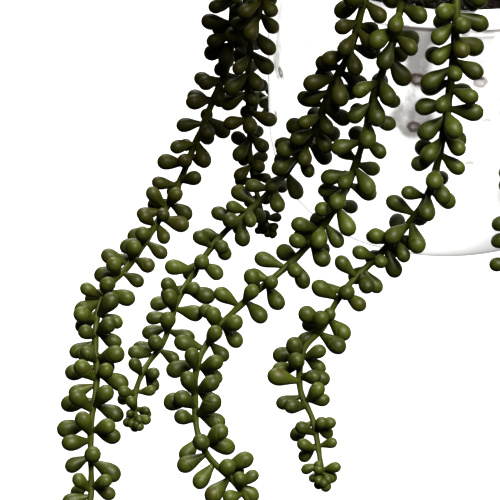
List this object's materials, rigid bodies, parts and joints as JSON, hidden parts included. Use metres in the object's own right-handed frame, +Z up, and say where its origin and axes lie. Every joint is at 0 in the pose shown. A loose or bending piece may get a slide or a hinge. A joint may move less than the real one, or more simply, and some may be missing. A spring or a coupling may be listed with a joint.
{
  "type": "potted string of pearls",
  "caption": "Trailing succulent with club-shaped pearl leaves in whorls on thin stems, planted in a round white glazed pot; the stems arch over the rim, hang down and lie along the surface.",
  "frame": {"origin": "centre of the pot's flat foot, on the surface that it stands on", "axes": "+Z up; -Y is the front, towards which the pictured stems trail; +X is to the right seen from the front"},
  "size_m": [0.4015, 0.5358, 0.1738],
  "materials": {
    "glaze": "gloss",
    "soil": "matte, crumbly",
    "leaf": "satin, waxy"
  },
  "bodies": {
    "root": {"pot": "glaze", "soil": "soil", "strand_01": "leaf", "strand_02": "leaf", "strand_03": "leaf", "strand_04": "leaf", "strand_05": "leaf", "strand_06": "leaf", "strand_07": "leaf", "strand_08": "leaf", "strand_09": "leaf", "strand_10": "leaf", "strand_11": "leaf", "strand_12": "leaf", "strand_13": "leaf", "short_strand_01": "leaf", "short_strand_02": "leaf", "short_strand_03": "leaf", "short_strand_04": "leaf", "short_strand_05": "leaf", "short_strand_06": "leaf", "crown_sprig_01": "leaf", "crown_sprig_02": "leaf", "crown_sprig_03": "leaf", "crown_sprig_04": "leaf", "crown_sprig_05": "leaf", "crown_sprig_06": "leaf", "crown_sprig_07": "leaf", "crown_sprig_08": "leaf"}
  },
  "joints": []
}
